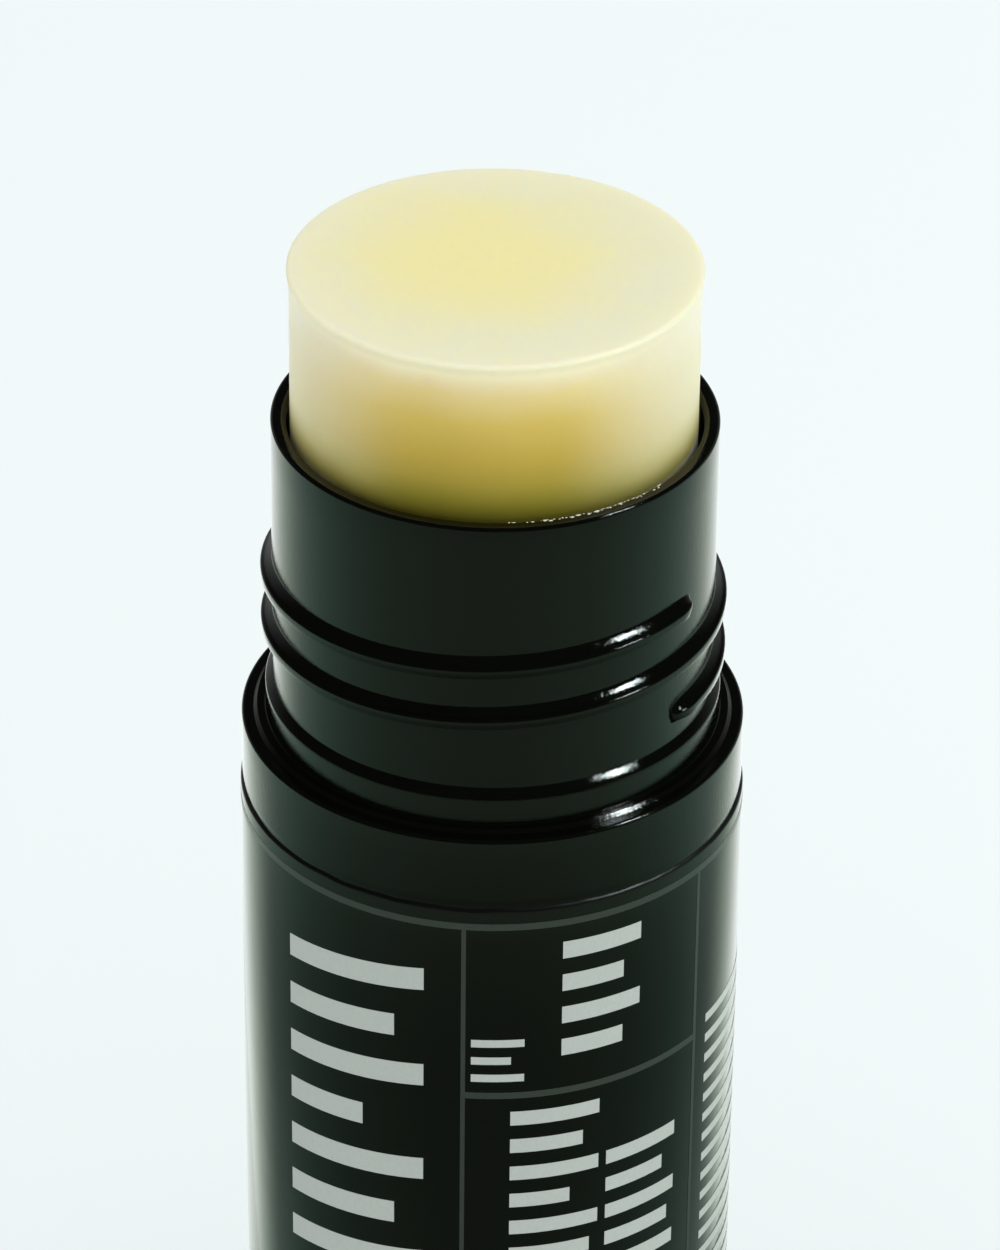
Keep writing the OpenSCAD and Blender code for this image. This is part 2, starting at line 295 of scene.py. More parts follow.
def wound_ridge(name):
    """The whole ridge, closed at both ends."""
    mesh = bmesh.new()
    sweep = 360 * THREAD_TURNS
    first = THREAD_END - sweep
    low = rim_z - THREAD_DROP - THREAD_PITCH * THREAD_TURNS
    ends = [THREAD_BLUNT * (1 - math.cos(math.radians(90 * i / 8))) for i in range(8)]
    steps = round((sweep - 2 * THREAD_BLUNT) / 3)
    places = ends + [THREAD_BLUNT + (sweep - 2 * THREAD_BLUNT) * i / steps for i in range(steps + 1)]
    places += [sweep - e for e in reversed(ends)]
    rings = []
    for along in places:
        a = math.radians(first + along)
        z = low + THREAD_PITCH * along / 360
        section = thread_section(thread_share(along, sweep))
        rings.append([
            mesh.verts.new(((NECK_R + x) * MM * math.cos(a), (NECK_R + x) * MM * math.sin(a), (z + y) * MM))
            for x, y in section
        ])
    count = len(rings[0])
    for one, two in zip(rings, rings[1:]):
        for i in range(count):
            j = (i + 1) % count
            mesh.faces.new((one[i], one[j], two[j], two[i]))
    mesh.faces.new(rings[0])
    mesh.faces.new(list(reversed(rings[-1])))
    return finished(name, mesh, 50)


thread = wound_ridge("cap_thread")


# %% [markdown]
# The outer sleeve is a second, wider tube pushed over the barrel, up to the stop ring under the
# collar. Its shoulder has a small radius. Round shapes like this need no more than an outline.

# %% Outer sleeve
SLEEVE_BORE_R = NECK_R + 0.05
SHOULDER_ROUND = 0.2
WAIST = 0.04  # the film lies in a very shallow recess
sleeve_outline = (
    [(SLEEVE_BORE_R, sleeve_foot)]
    + arc(sleeve_r - 0.15, sleeve_foot + 0.15, 0.15, -90, 0, 4)
    + [(sleeve_r, sleeve_foot + 1), (sleeve_r, label_foot - 0.2), (sleeve_r - WAIST, label_foot)]
    + [(sleeve_r - WAIST, label_top), (sleeve_r - WAIST * 0.8, label_top + 0.12)]
    + [(sleeve_r - WAIST * 0.2, label_top + 0.3), (sleeve_r, label_top + 0.45)]
    + [(sleeve_r, sleeve_top - SHOULDER_ROUND - 1)]
    + arc(sleeve_r - SHOULDER_ROUND, sleeve_top - SHOULDER_ROUND, SHOULDER_ROUND, 0, 90, 8)
    + [(SLEEVE_BORE_R, sleeve_top)]
)
sleeve = turned("sleeve", sleeve_outline, even_angles())


# %% [markdown]
# The label is printed film, wrapped once round the sleeve. With its glue it is a little over
# 0.1 mm thick. It is modelled as a real thin shell, because its top edge, rolled over a little,
# draws a line round the stick. Its two ends nearly meet at the back, with a gap the width of a
# hair.

# %% Label
INK_THICKNESS = 0.012
FILM_R = label_r - INK_THICKNESS
LABEL_BORE_R = sleeve_r - WAIST - 0.01
LABEL_EDGE = 0.17  # height over which the film's edge rolls over
EDGE_WALK = [(60, 0.6), (50, 1), (45, 1), (40, 1), (30, 0.8), (18, 0.6), (8, 0.4)]
LABEL_SEAM = 0.6  # degrees left bare at the back
LABEL_STEPS = 480
FRONT = -90.0  # direction of the label's front


def label_point(r, z, angle):
    """A place in metres, from a radius, a height and a direction."""
    a = math.radians(angle)
    return (r * MM * math.cos(a), r * MM * math.sin(a), z * MM)


def label_shell():
    """The film as a closed shell, open only at its seam, with a slightly uneven top edge."""
    mesh = bmesh.new()
    thickness = FILM_R - LABEL_BORE_R
    rings = []
    for i in range(LABEL_STEPS + 1):
        angle = FRONT + 180 + LABEL_SEAM / 2 + (360 - LABEL_SEAM) * i / LABEL_STEPS
        a = math.radians(angle)
        along = Vector((math.cos(a), math.sin(a), 0)) * FILM_R
        top = label_top - 0.05 * (1 + noise.noise(along * 0.9))
        rolled = [(LABEL_BORE_R + x, top + z) for x, z in walk(EDGE_WALK, thickness, LABEL_EDGE)]
        outline = [(LABEL_BORE_R, label_foot), (FILM_R - 0.02, label_foot), (FILM_R, label_foot + 0.03)]
        outline += [(FILM_R, label_top - 2)] + list(reversed(rolled))
        rings.append([mesh.verts.new(label_point(r, z, angle)) for r, z in outline])
    for one, two in zip(rings, rings[1:]):
        for i in range(len(outline)):
            j = (i + 1) % len(outline)
            mesh.faces.new((one[i], one[j], two[j], two[i]))
    mesh.faces.new(rings[0])
    mesh.faces.new(list(reversed(rings[-1])))
    return finished("label_film", mesh)


label = label_shell()


# %% [markdown]
# The print is ink on the film. Each mark is a thin raised patch that follows the film's curve,
# cut into columns: for every column it has a place round the label and a lower and an upper
# height. Rules and slanted bars are both made from such columns, so ink needs one helper.
# An image texture could do it too, but patches stay sharp at any distance.

# %% Helper for ink
DEGREES_PER_MM = 360 / (2 * math.pi * label_r)


def ink(mesh, columns):
    """One closed patch of ink, from columns of (degrees right of the front, low, high)."""
    rings = []
    for side, low, high in columns:
        corners = [(FILM_R - 0.01, low), (label_r, low), (label_r, high), (FILM_R - 0.01, high)]
        rings.append([mesh.verts.new(label_point(r, z, FRONT + side)) for r, z in corners])
    for one, two in zip(rings, rings[1:]):
        for i in range(4):
            j = (i + 1) % 4
            mesh.faces.new((one[i], one[j], two[j], two[i]))
    mesh.faces.new(rings[0])
    mesh.faces.new(list(reversed(rings[-1])))


def spread(start, end):
    """Places from start to end, no more than three degrees apart."""
    steps = max(1, math.ceil(abs(end - start) / 3))
    return [start + (end - start) * i / steps for i in range(steps + 1)]


def bar(mesh, start, end, low, high, rise=0.0):
    """A bar from one place to another round the label, which may rise along its length."""
    columns = []
    for side in spread(start, end):
        lift = rise * (side - start) / (end - start)
        columns.append((side, low + lift, high + lift))
    ink(mesh, columns)


# %% [markdown]
# The print is plain: rules that part the label into panels, and stacks of bars in two greys. One
# stack slants. A helper lays a stack from a list of widths, since all of them repeat a bar.

# %% Printed marks
RULE_DROP = 1.09  # from the label's top edge to the middle of the first rule
RULE_WIDTH = 0.38
SECOND_RULE = 11.25  # from the label's top edge down
PANEL_LEFT = -5.8  # degrees right of the front
PANEL_RIGHT = 54.6
PANEL_BACK = 174.0
PRINT_FOOT = label_foot + 2
FULL_BAR = 37  # degrees over which a slanted bar rises in full

rule_mesh = bmesh.new()
rule_z = label_top - RULE_DROP
bar(rule_mesh, -179.6, 179.6, rule_z - RULE_WIDTH / 2, rule_z + RULE_WIDTH / 2)
for side in (PANEL_LEFT, PANEL_RIGHT, PANEL_BACK, PANEL_LEFT - 120):
    half = RULE_WIDTH / 2 * DEGREES_PER_MM * 0.6
    bar(rule_mesh, side - half, side + half, PRINT_FOOT, rule_z - RULE_WIDTH / 2)
second_z = label_top - SECOND_RULE
bar(rule_mesh, PANEL_LEFT, PANEL_RIGHT, second_z - RULE_WIDTH / 2, second_z + RULE_WIDTH / 2)
rules = finished("printed_rules", rule_mesh)

marks_mesh = bmesh.new()


def stack(start, widths, drop, pitch, thick, rise=0.0):
    """Bars under each other, each as many degrees wide as the list says."""
    for i, width in enumerate(widths):
        top = label_top - drop - i * pitch
        bar(marks_mesh, start, start + width, top - thick, top, rise * width / FULL_BAR)


stack(-51.8, (37, 30, 37, 22, 37, 30, 37, 22, 37, 30, 37, 22, 37), 4.85, 2.9, 1.3, 1.0)
stack(16.5, (19.5, 15, 19.5, 15), 2.25, 1.95, 1.0)
stack(-4.0, (12, 9, 12), 7.85, 1.05, 0.45)
stack(5.0, (21, 17, 21, 14, 21, 19, 21, 12, 21, 17, 21, 14, 20, 9), 12.25, 1.7, 0.85)
stack(28.0, (20, 16, 20, 18, 20, 13, 20, 17, 20, 15, 20, 9), 15.65, 1.7, 0.85)
long_lines = (40, 44, 38, 43, 41, 44, 36, 42, 44, 39, 43, 37, 44, 41, 43, 35, 44, 40, 42, 26)
stack(59.5, long_lines, 10.55, 1.25, 0.5)
stack(108.0, (56, 48, 56, 52, 44, 56, 50, 30), 4.85, 2.0, 0.8)
stack(108.0, (56, 50, 54, 47, 56, 51, 53, 40), 24.15, 1.6, 0.6)
marks = finished("printed_marks", marks_mesh)


# %% [markdown]
# The balm was poured into the barrel and set there, so its side took the barrel's shape, with a
# slot for each guide rib, and its top was smoothed. It isn't a perfect cylinder: its top dips a
# little and its edge is softly worn. Those come from small noise on the heights of a fine grid.

# %% Balm
BALM_ROUND = 0.22
SHRINK = 0.1  # the side drew in as the balm set
FLARE = 0.02  # how far its top edge stands proud of the size it was cast to
LEAN = -0.05  # the balm stands a little left of the middle
SLOT_R = BORE_R - RIB_REACH - 0.2
SLOT_WIDTH = RIB_WIDTH + 0.4
SUNK = 1.05  # how far below the rim its top lies when wound down
travel_down = balm_top - rim_z + SUNK
balm_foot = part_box("balm")[0].z / MM
cup_top = balm_foot + 6
CUP_GAP = 0.15
CUP_WALL = 0.7
BALM_GAP = 0.03
cup_r = BORE_R - CUP_GAP - CUP_WALL - BALM_GAP
slot_top = RIB_TOP + travel_down + 0.2
HOLE_R = 3.75
hole_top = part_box("lead_screw")[1].z / MM + travel_down + 0.3
side_heights = [balm_top - BALM_ROUND - 0.45 * i for i in range(1, 18)]
balm_outline = (
    [(0, balm_top), (0.8, balm_top), (1.8, balm_top)]
    + [(r * 0.5, balm_top) for r in range(5, 19)]
    + [(9.3, balm_top), (9.55, balm_top)]
    + list(reversed(arc(balm_r - BALM_ROUND, balm_top - BALM_ROUND, BALM_ROUND, 0, 90, 8)))
    + [(balm_r, z) for z in side_heights if z > slot_top + 0.1]
    + [(balm_r, slot_top + 0.02), (balm_r, slot_top - 0.02), (balm_r, (slot_top + cup_top) / 2)]
    + [(balm_r, cup_top), (cup_r, cup_top), (cup_r, balm_foot), (HOLE_R, balm_foot)]
    + [(HOLE_R, hole_top), (0, hole_top)]
)


def balm_shape(r, z, angle, index):
    """Slots for the ribs, a dipped and uneven top, and a softly worn edge."""
    if r > SLOT_R and z < slot_top and in_rib(angle, SLOT_WIDTH, balm_r):
        return SLOT_R, z
    a = math.radians(angle)
    place = Vector((r * math.cos(a), r * math.sin(a), z))
    if z > balm_top - 1.0:
        dip = 0.05 * (1 - (r / balm_r) ** 2)
        wave = 0.035 * noise.noise(place * 0.35) + 0.012 * noise.noise(place * 1.3)
        z -= dip + abs(wave)
    if r > SLOT_R:
        side = max(0, min(1, (balm_top - 0.15 - z) / 0.9))
        r += FLARE - (SHRINK + FLARE) * side - 0.012 * (1 + noise.noise(place * 0.5))
    return r + LEAN * math.cos(a), z


balm = turned(
    "balm_stick",
    balm_outline,
    even_angles(2.0, rib_angles(SLOT_WIDTH, balm_r)),
    balm_shape,
)


# %% [markdown]
# Winding the balm up and down rubs crumbs of wax off on the rim. They are small flattened blobs,
# strewn by a random that starts from a fixed number, so every run gives the same ones.

# %% Wax crumbs on the rim
CRUMBS = 60
CRUMB_START = 2  # degrees round from the front
CRUMB_PEAK = 30  # where they lie closest
CRUMB_END = 52
CRUMB_LEAST = 0.025  # half the width, in mm
CRUMB_MOST = 0.07
CRUMB_LENGTH = (0.8, 2.6)  # times its width
CRUMB_HEIGHT = 0.6  # times its width
CRUMB_LEAN = (90, 140)  # from the top of the rim to its inner side, in degrees


def crumb(mesh, dice):
    """One closed blob on the rounded inner edge of the rim."""
    angle = math.radians(FRONT + dice.triangular(CRUMB_START, CRUMB_END, CRUMB_PEAK))
    size = dice.uniform(CRUMB_LEAST, CRUMB_MOST)
    lean = math.radians(dice.uniform(*CRUMB_LEAN))
    r = BORE_R + RIM_ROUND * (1 + math.cos(lean))
    z = rim_z - RIM_ROUND * (1 - math.sin(lean))
    place = Vector((r * math.cos(angle), r * math.sin(angle), z))
    length = dice.uniform(*CRUMB_LENGTH)
    blob = bmesh.ops.create_icosphere(mesh, subdivisions=1, radius=1)["verts"]
    for vert in blob:
        outward, along_rim, upward = vert.co
        shift = Vector((-math.sin(angle), math.cos(angle), 0)) * along_rim * size * length
        shift += Vector((math.cos(angle), math.sin(angle), 0)) * outward * size
        shift.z += upward * size * CRUMB_HEIGHT
        vert.co = (place + shift * dice.uniform(0.8, 1.2)) * MM


crumb_mesh = bmesh.new()
crumb_dice = random.Random(4)
for _ in range(CRUMBS):
    crumb(crumb_mesh, crumb_dice)
crumbs = finished("rim_crumbs", crumb_mesh, smooth_below=60)


# %% [markdown]
# The knob closes the tube from below and turns the screw. Its grip is a ring of shallow scoops.
# Here the angle decides the radius: between two ridges the wall dips along a cosine.

# %% Knob
GRIPS = 36
GRIP_DEPTH = 0.3
GRIP_WIDTH = 0.9
KNOB_BORE_R = NECK_R + 0.15
GROOVE_R = NECK_R + 0.4  # holds the barrel's snap ring
GROOVE_HALF = 0.55
SCREW_HOLE_R = 2.9
FLOOR_LOW = 0.6
FLOOR_TOP = 2.1
HUB_R = 5.0
HUB_TOP = 5.0
RECESS_R = sleeve_r - 2.9
grip_half = math.degrees(math.asin(GRIP_WIDTH / 2 / sleeve_r))
knob_outline = (
    [(0, FLOOR_LOW), (RECESS_R - 0.2, FLOOR_LOW), (RECESS_R, FLOOR_LOW - 0.15), (RECESS_R, 0.1)]
    + [(RECESS_R + 0.1, 0), (sleeve_r - 0.6, 0)]
    + arc(sleeve_r - 0.4, 0.42, 0.4, -75, 0, 5)
    + [(sleeve_r, 1.6), (sleeve_r, knob_top - 1.2)]
    + arc(sleeve_r - 0.25, knob_top - 0.25, 0.25, 0, 90, 5)
    + [(KNOB_BORE_R, knob_top), (KNOB_BORE_R, SNAP_MIDDLE + GROOVE_HALF)]
    + [(GROOVE_R, SNAP_MIDDLE + GROOVE_HALF), (GROOVE_R, SNAP_MIDDLE - GROOVE_HALF)]
    + [(KNOB_BORE_R, SNAP_MIDDLE - GROOVE_HALF), (KNOB_BORE_R, FLOOR_TOP)]
    + [(HUB_R, FLOOR_TOP), (HUB_R, HUB_TOP), (SCREW_HOLE_R, HUB_TOP)]
    + [(SCREW_HOLE_R, FLOOR_TOP), (0, FLOOR_TOP)]
)


def knob_shape(r, z, angle, index):
    """The grip's scoops, which run out at the top and bottom edges."""
    if r < sleeve_r - 0.45:
        return r, z
    off = abs((angle / 360 * GRIPS) % 1 - 0.5) * 360 / GRIPS
    if off > grip_half:
        return r, z
    return r - GRIP_DEPTH * math.cos(math.radians(90 * off / grip_half)), z


knob = turned("grip_knob", knob_outline, even_angles(1.0), knob_shape)


# %% [markdown]
# Materials. One helper adds a node with its settings and its links, and one turns an sRGB hex
# colour, as read off a screen, into the linear numbers that Blender calculates with.

# %% Helpers for materials
def colour(code):
    """An sRGB hex colour as linear red, green, blue and alpha."""
    parts = [int(code[i : i + 2], 16) / 255 for i in (0, 2, 4)]
    linear = [c / 12.92 if c <= 0.04045 else ((c + 0.055) / 1.055) ** 2.4 for c in parts]
    return (*linear, 1)


def add(tree, kind, inputs=None, stops=(), **settings):
    """Adds a node. An input is given a value, or the socket that feeds it. A colour ramp also
    gets its stops, as places from 0 to 1 with hex colours."""
    node = tree.nodes.new(kind)
    for name, value in settings.items():
        setattr(node, name, value)
    for place, code in stops:
        node.color_ramp.elements.new(place).color = colour(code)
    if stops:
        node.color_ramp.elements.remove(node.color_ramp.elements[0])
        node.color_ramp.elements.remove(node.color_ramp.elements[-1])
    for name, value in (inputs or {}).items():
        if isinstance(value, bpy.types.NodeSocket):
            tree.links.new(value, node.inputs[name])
        else:
            node.inputs[name].default_value = value
    return node


def new_material(name):
    """A material with only its output, and coordinates in millimetres from the part's origin."""
    material = bpy.data.materials.new(name)
    material.use_nodes = True
    tree = material.node_tree
    tree.nodes.clear()
    output = add(tree, "ShaderNodeOutputMaterial")
    place = add(tree, "ShaderNodeTexCoord")
    in_mm = add(
        tree,
        "ShaderNodeVectorMath",
        {0: place.outputs["Object"], "Scale": 1 / MM},
        operation="SCALE",
    )
    print("material", name)
    return material, tree, output, in_mm.outputs[0]


# %% [markdown]
# The tube is black polypropylene, injection moulded in a polished mould. The eye gets a deep
# gloss that is never quite smooth: the mirror image of a small lamp breaks up into sparks and fine
# upright scratches. Polypropylene's index of refraction is 1.49. The scratches are 0.08 mm apart
# and the grain 0.11 mm, wider than the real ones, so that they show at this size.

# %% Black polypropylene
SCRATCH_MM = 0.08
SCRATCH_LENGTH = 8  # times longer than wide
GRAIN_MM = 0.11
RELIEF_MM = 0.0075  # depth of both
PATCH_MM = 2.5  # size of the duller patches

pp, tree, out, mm = new_material("black_polypropylene")
stretch = add(tree, "ShaderNodeVectorMath", {0: mm, 1: (1, 1, 1 / SCRATCH_LENGTH)}, operation="MULTIPLY")
scratches = add(
    tree,
    "ShaderNodeTexNoise",
    {"Vector": stretch.outputs[0], "Scale": 1 / SCRATCH_MM, "Detail": 1.0},
)
grain = add(
    tree,
    "ShaderNodeTexNoise",
    {"Vector": mm, "Scale": 1 / GRAIN_MM, "Detail": 2.0, "Roughness": 0.6},
)
relief = add(
    tree,
    "ShaderNodeMath",
    {0: scratches.outputs["Fac"], 1: 0.6, 2: grain.outputs["Fac"]},
    operation="MULTIPLY_ADD",
)
bump = add(
    tree,
    "ShaderNodeBump",
    {"Strength": 1.0, "Distance": RELIEF_MM * MM, "Height": relief.outputs[0]},
)
patches = add(tree, "ShaderNodeTexNoise", {"Vector": mm, "Scale": 1 / PATCH_MM, "Detail": 3.0})
gloss = add(
    tree,
    "ShaderNodeMapRange",
    {"Value": patches.outputs["Fac"], "From Min": 0.3, "From Max": 0.7, "To Min": 0.04, "To Max": 0.07},
)
plastic = add(
    tree,
    "ShaderNodeBsdfPrincipled",
    {
        "Base Color": colour("060704"),
        "Roughness": gloss.outputs[0],
        "IOR": 1.49,
        "Normal": bump.outputs[0],
    },
)
tree.links.new(plastic.outputs[0], out.inputs["Surface"])


# %% [markdown]
# The label is polypropylene film printed black under a clear varnish, smoother than the moulding.
# Film over glue is never quite flat, so its gloss has a slow wave in it.

# %% Label film
WAVE_MM = 2.5

film, tree, out, mm = new_material("black_label_film")
wave = add(tree, "ShaderNodeTexNoise", {"Vector": mm, "Scale": 1 / WAVE_MM, "Detail": 2.0})
peel = add(
    tree,
    "ShaderNodeBump",
    {"Strength": 1.0, "Distance": 0.01 * MM, "Height": wave.outputs["Fac"]},
)
parts = add(tree, "ShaderNodeSeparateXYZ", {"Vector": mm})
cut = add(
    tree,
    "ShaderNodeMapRange",
    {
        "Value": parts.outputs["Z"],
        "From Min": label_top - 0.4,
        "From Max": label_top - 0.2,
        "To Min": 0.1,
        "To Max": 0.36,
    },
)
varnish = add(
    tree,
    "ShaderNodeBsdfPrincipled",
    {"Base Color": colour("060704"), "Roughness": cut.outputs[0], "IOR": 1.49, "Normal": peel.outputs[0]},
)
tree.links.new(varnish.outputs[0], out.inputs["Surface"])


# %% [markdown]
# The inks are two greys, screen printed. Thin ink lets a little of the black film through, so a
# fine noise makes it patchy.

# %% Inks
def ink_material(name, code, darker):
    """A matt ink between two greys."""
    material, tree, out, mm = new_material(name)
    cover = add(tree, "ShaderNodeTexNoise", {"Vector": mm, "Scale": 6.0, "Detail": 3.0})
    shade = add(
        tree,
        "ShaderNodeMix",
        {"Factor": cover.outputs["Fac"], "A": colour(darker), "B": colour(code)},
        data_type="RGBA",
    )
    skin = add(
        tree,
        "ShaderNodeBsdfPrincipled",
        {"Base Color": shade.outputs["Result"], "Roughness": 0.32, "IOR": 1.5},
    )
    tree.links.new(skin.outputs[0], out.inputs["Surface"])
    return material


dark_ink = ink_material("dark_grey_ink", "3a423a", "30372f")
pale_ink = ink_material("pale_grey_ink", "c2c7c0", "b3b8b0")


# %% [markdown]
# The balm is beeswax and plant oil. Light goes into wax and comes out again a millimetre or two
# away, so its edges glow and its shadows turn deep yellow. Subsurface scattering does that. Its
# index of refraction is 1.44. Its colour is the wax's own yellow with light and shade painted over
# it. The top is deeper yellow round a spot a little off the middle: painted shade of a shallow dip
# there. Towards its edge the top turns paler. Down the side a ramp over the height darkens the wax
# to olive: painted shade, for the light that fades deep in the wax and the shadow of the black
# barrel near the rim. To the left and right a second ramp lays a pale painted sheen, a painted
# reflection of the bright surroundings on the grazing sides, which also darkens with depth.
# One fault is left here. Both ramps should end in the plain colour of the wax, for the part that
# comes out of the barrel only when the balm is wound up. Their last stop is at exactly 1.0, where
# a ramp has a white stop of its own, and add takes away the wrong one of the two. So that part
# shows white. A last stop at 0.98 in both lists would cure it.

# %% Wax
# Painted shade: the side's colour ramp darkens the wax over this depth.
RAMP_MM = 10.0  # the side's ramp runs this far down from the top

wax, tree, out, mm = new_material("beeswax_balm")
parts = add(tree, "ShaderNodeSeparateXYZ", {"Vector": mm})
flat = add(tree, "ShaderNodeCombineXYZ", {"X": parts.outputs["X"], "Y": parts.outputs["Y"]})
off_centre = add(tree, "ShaderNodeVectorMath", {0: flat.outputs[0], 1: (1.0, -0.6, 0)}, operation="ADD")
radius = add(tree, "ShaderNodeVectorMath", {0: off_centre.outputs[0]}, operation="LENGTH")
cloud = add(tree, "ShaderNodeTexNoise", {"Vector": mm, "Scale": 0.22, "Detail": 3.0, "Roughness": 0.5})
wander = add(
    tree,
    "ShaderNodeMath",
    {0: cloud.outputs["Fac"], 1: 5.0, 2: radius.outputs["Value"]},
    operation="MULTIPLY_ADD",
)
# Painted shade: the top is deeper yellow round a spot a little off the middle, for the shade of a shallow
# dip there, and paler outside it.
out_of_dip = add(
    tree,
    "ShaderNodeMapRange",
    {"Value": wander.outputs[0], "From Min": 4.5, "From Max": 13.0},
    interpolation_type="SMOOTHSTEP",
)
top_with_dip_shade = add(
    tree,
    "ShaderNodeMix",
    {"Factor": out_of_dip.outputs[0], "A": colour("f4e6a8"), "B": colour("ece7c8")},
    data_type="RGBA",
)
reach = add(tree, "ShaderNodeVectorMath", {0: flat.outputs[0]}, operation="LENGTH")
# Towards its edge the top turns paler.
edge = add(
    tree,
    "ShaderNodeMapRange",
    {"Value": reach.outputs["Value"], "From Min": balm_r - 1.0, "From Max": balm_r - 0.2, "To Max": 0.85},
    interpolation_type="SMOOTHSTEP",
)
top_paler_to_edge = add(
    tree,
    "ShaderNodeMix",
    {"Factor": edge.outputs[0], "A": top_with_dip_shade.outputs["Result"], "B": colour("ebe3ca")},
    data_type="RGBA",
)
# Painted shade: down the side the wax darkens to olive, for the light that fades deep in the wax and the
# shadow of the black barrel near the rim.
depth = add(
    tree,
    "ShaderNodeMapRange",
    {"Value": parts.outputs["Z"], "From Min": balm_top, "From Max": balm_top - RAMP_MM},
)
ripple = add(
    tree,
    "ShaderNodeMath",
    {0: cloud.outputs["Fac"], 1: 0.08, 2: depth.outputs[0]},
    operation="MULTIPLY_ADD",
)
SIDE_SHADE_STOPS = [
    (0.05, "efe5c6"),
    (0.1, "f7eece"),
    (0.2, "ecda9c"),
    (0.36, "ddc46a"),
    (0.56, "c9af50"),
    (0.7, "b09d40"),
    (0.8, "8e8428"),
    (0.9, "6c6518"),
    (1.0, "c9b25c"),
]
painted_depth_shade = add(tree, "ShaderNodeValToRGB", {"Fac": ripple.outputs[0]}, stops=SIDE_SHADE_STOPS)
# Painted sheen: a pale painted reflection of the bright surroundings on the grazing sides, darkening with
# depth as painted shade.
SHEEN_SHADE_STOPS = [
    (0.05, "e4dcc4"),
    (0.2, "f0ebd8"),
    (0.5, "ebe3c6"),
    (0.66, "e6dcb6"),
    (0.78, "d6ca94"),
    (0.88, "a89c55"),
    (1.0, "d8cc98"),
]
painted_sheen_side = add(tree, "ShaderNodeValToRGB", {"Fac": ripple.outputs[0]}, stops=SHEEN_SHADE_STOPS)
# The painted sheen grows to the left and right of the middle.
across = add(tree, "ShaderNodeMath", {0: parts.outputs["X"], 1: 0.6}, operation="ADD")
from_middle = add(tree, "ShaderNodeMath", {0: across.outputs[0]}, operation="ABSOLUTE")
painted_sheen_amount = add(
    tree,
    "ShaderNodeMapRange",
    {"Value": from_middle.outputs[0], "From Min": 3.0, "From Max": 10.5, "To Max": 0.8},
    interpolation_type="SMOOTHSTEP",
)
side_with_painted_light = add(
    tree,
    "ShaderNodeMix",
    {"Factor": painted_sheen_amount.outputs[0], "A": painted_depth_shade.outputs["Color"], "B": painted_sheen_side.outputs["Color"]},
    data_type="RGBA",
)
on_side = add(
    tree,
    "ShaderNodeMapRange",
    {"Value": parts.outputs["Z"], "From Min": balm_top - 0.25, "From Max": balm_top - 0.6},
    interpolation_type="SMOOTHSTEP",
)
body = add(
    tree,
    "ShaderNodeMix",
    {"Factor": on_side.outputs[0], "A": top_paler_to_edge.outputs["Result"], "B": side_with_painted_light.outputs["Result"]},
    data_type="RGBA",
)
fine = add(tree, "ShaderNodeTexNoise", {"Vector": mm, "Scale": 3.0, "Detail": 4.0})
soft = add(
    tree,
    "ShaderNodeBump",
    {"Strength": 0.2, "Distance": 0.03 * MM, "Height": fine.outputs["Fac"]},
)
waxy = add(
    tree,
    "ShaderNodeBsdfPrincipled",
    {
        "Base Color": body.outputs["Result"],
        "Roughness": 0.42,
        "IOR": 1.44,
        "Subsurface Weight": 1.0,
        "Subsurface Radius": (1.0, 0.85, 0.35),
        "Subsurface Scale": 1.2 * MM,
        "Sheen Weight": 0.1,
        "Sheen Roughness": 0.3,
        "Normal": soft.outputs[0],
    },
)
tree.links.new(waxy.outputs[0], out.inputs["Surface"])


# %% [markdown]
# The crumbs are the same wax, coloured near white: a painted highlight, so that they show as bright glints
# on the rim.

# %% Crumbs with a painted glint
crumb_wax_glint, tree, out, mm = new_material("wax_crumbs_painted_glint")
glint_pale_wax = add(
    tree,
    "ShaderNodeBsdfPrincipled",
    {"Base Color": colour("f2f2e6"), "Roughness": 0.25, "IOR": 1.44},
)
tree.links.new(glint_pale_wax.outputs[0], out.inputs["Surface"])


# %% [markdown]
# The screw and the carrier are uncoloured polypropylene, milky and matt, with light scattered a
# little way inside it.

# %% Natural polypropylene
natural, tree, out, mm = new_material("natural_polypropylene")
cloudy = add(tree, "ShaderNodeTexNoise", {"Vector": mm, "Scale": 1.5, "Detail": 3.0})
milky = add(
    tree,
    "ShaderNodeMix",
    {"Factor": cloudy.outputs["Fac"], "A": colour("e2e0d8"), "B": colour("efede6")},
    data_type="RGBA",
)
dull = add(
    tree,
    "ShaderNodeBsdfPrincipled",
    {
        "Base Color": milky.outputs["Result"],
        "Roughness": 0.4,
        "IOR": 1.49,
        "Subsurface Weight": 0.3,
        "Subsurface Scale": 1.0 * MM,
    },
)
tree.links.new(dull.outputs[0], out.inputs["Surface"])


# %% [markdown]
# Each piece now gets its finish and is tied to the body that it moves with. A piece that stands
# for a solid of the measured model hides that solid.

# %% Dress and tie
DRESS = [
    (barrel, pp, "tube", ["inner_barrel"], "tube_black"),
    (thread, pp, "tube", [], "tube_black"),
    (sleeve, pp, "tube", ["outer_sleeve"], "tube_black"),
    (label, film, "tube", ["label"], "label_film"),
    (rules, dark_ink, "tube", [], "label_film"),
    (marks, pale_ink, "tube", [], "label_film"),
    (knob, pp, "knob", ["twist_knob"], "tube_black"),
    (balm, wax, "stick", ["balm"], "balm_wax"),
    (crumbs, crumb_wax_glint, "tube", [], "balm_wax"),
]
for piece, material, body_name, nodes, slot_name in DRESS:
    piece.data.materials.append(material)
    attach(piece, body_name)
    if nodes:
        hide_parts(*nodes)
print(len(DRESS), "pieces dressed")
for node in ("lead_screw", "balm_carrier"):
    for mesh_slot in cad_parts[node].material_slots:
        mesh_slot.material = natural


